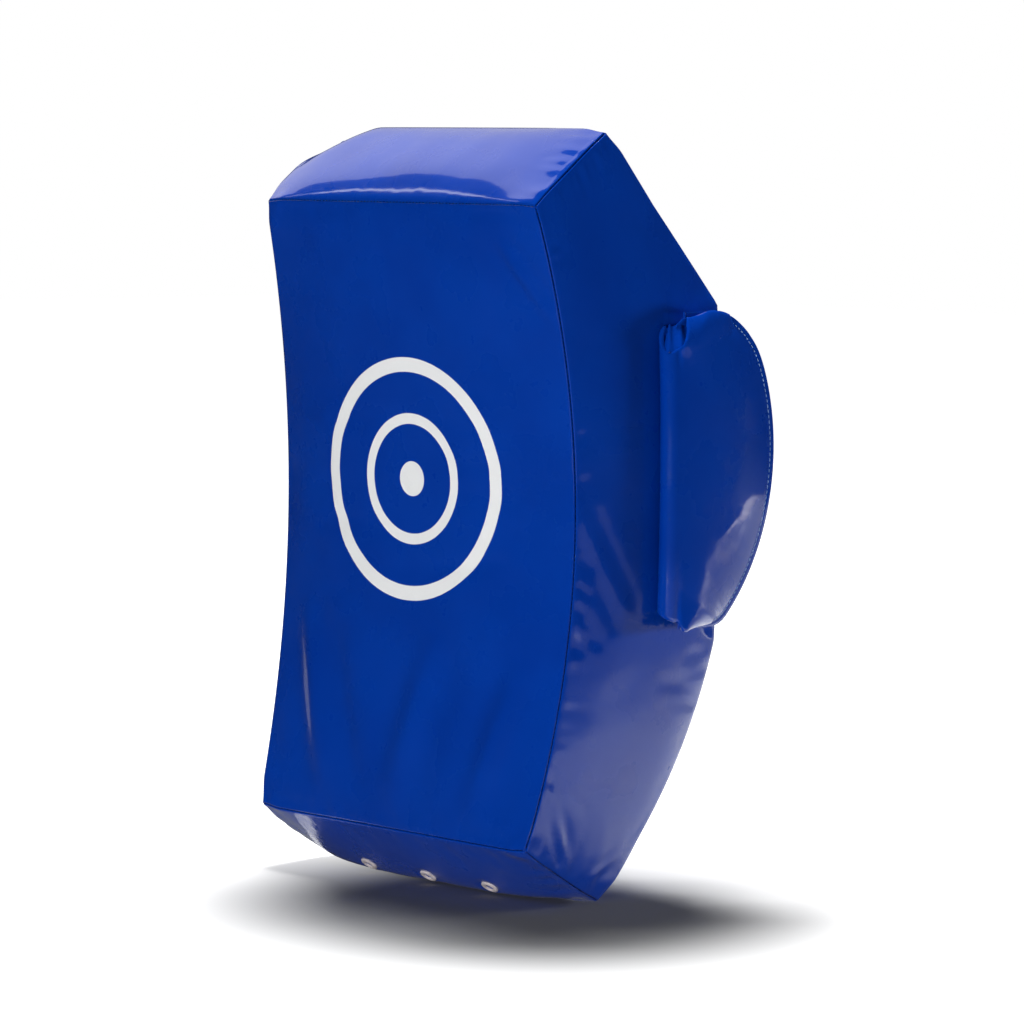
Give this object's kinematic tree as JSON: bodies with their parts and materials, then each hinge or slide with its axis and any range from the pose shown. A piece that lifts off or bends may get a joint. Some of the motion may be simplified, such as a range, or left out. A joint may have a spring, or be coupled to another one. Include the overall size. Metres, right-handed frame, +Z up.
{
  "type": "tackle shield",
  "caption": "Tackle shield: foam body with a hollow front and leaning ends, padded side wings, webbing grip handles and a zipped cover of coated fabric.",
  "frame": {"origin": "on the ground under the middle of the whole shield's bounding box", "axes": "+Z up along the shield's height, the hollow front faces -Y and the handles are on the +Y side; +X is to the viewer's right seen from the front"},
  "size_m": [0.4986, 0.3183, 0.7805],
  "materials": {
    "coated_blue": "royal blue coated fabric, glossy",
    "firm_foam": "closed-cell foam, matt",
    "soft_foam": "open-cell foam, matt",
    "black_webbing": "woven webbing, matt",
    "black_rubber": "moulded rubber, matt",
    "black_tape": "woven zip tape, matt",
    "zip_metal": "plated metal, satin",
    "eyelet_metal": "plated metal, bright"
  },
  "bodies": {
    "shield": {"front_panel": "coated_blue", "top_panel": "coated_blue", "upper_back_panel": "coated_blue", "back_panel": "coated_blue", "lower_back_panel": "coated_blue", "bottom_panel": "coated_blue", "right_side_panel": "coated_blue", "left_side_panel": "coated_blue", "strike_foam": "firm_foam", "core_foam": "soft_foam", "back_foam": "firm_foam", "right_wing_tape": "coated_blue", "left_wing_tape": "coated_blue", "right_handle_upper_end": "black_webbing", "right_handle_lower_end": "black_webbing", "right_handle_upper_patch": "coated_blue", "right_handle_lower_patch": "coated_blue", "left_handle_upper_end": "black_webbing", "left_handle_lower_end": "black_webbing", "left_handle_upper_patch": "coated_blue", "left_handle_lower_patch": "coated_blue", "zip_tape_upper": "black_tape", "zip_tape_lower": "black_tape", "zip_stop_right": "black_tape", "zip_stop_left": "black_tape", "eyelet_left": "eyelet_metal", "eyelet_washer_left": "eyelet_metal", "eyelet_middle": "eyelet_metal", "eyelet_washer_middle": "eyelet_metal", "eyelet_right": "eyelet_metal", "eyelet_washer_right": "eyelet_metal"},
    "right_wing": {"right_wing_outer_cover": "coated_blue", "right_wing_inner_cover": "coated_blue", "right_wing_pad": "soft_foam"},
    "left_wing": {"left_wing_outer_cover": "coated_blue", "left_wing_inner_cover": "coated_blue", "left_wing_pad": "soft_foam"},
    "right_handle": {"right_handle_strap": "black_webbing", "right_handle_grip": "black_rubber"},
    "left_handle": {"left_handle_strap": "black_webbing", "left_handle_grip": "black_rubber"},
    "zip_slider": {"zip_slider": "zip_metal"},
    "zip_pull": {"zip_pull": "zip_metal"}
  },
  "joints": [
    {"name": "right_wing_fold", "type": "hinge", "parent": "shield", "child": "right_wing", "pos_m": [0.2373, 0.0035, 0.38446], "axis": [0, 0, -1], "range_deg": [0, 75], "stiffness_Nm_per_rad": 0.6},
    {"name": "left_wing_fold", "type": "hinge", "parent": "shield", "child": "left_wing", "pos_m": [-0.2373, 0.0035, 0.38446], "axis": [0, 0, 1], "range_deg": [0, 75], "stiffness_Nm_per_rad": 0.6},
    {"name": "right_handle_swing", "type": "hinge", "parent": "shield", "child": "right_handle", "pos_m": [0.085, 0.11569, 0.43196], "axis": [0, 0, 1], "range_deg": [-40, 40], "stiffness_Nm_per_rad": 0.2},
    {"name": "left_handle_swing", "type": "hinge", "parent": "shield", "child": "left_handle", "pos_m": [-0.085, 0.11569, 0.43196], "axis": [0, 0, 1], "range_deg": [-40, 40], "stiffness_Nm_per_rad": 0.2},
    {"name": "zip_slide", "type": "slide", "parent": "shield", "child": "zip_slider", "axis": [-1, 0, 0], "range_m": [0, 0.3578]},
    {"name": "zip_pull_swing", "type": "hinge", "parent": "zip_slider", "child": "zip_pull", "pos_m": [0.1794, 0.08946, 0.21355], "axis": [0, -0.3361, -0.9418], "range_deg": [0, 180]}
  ]
}
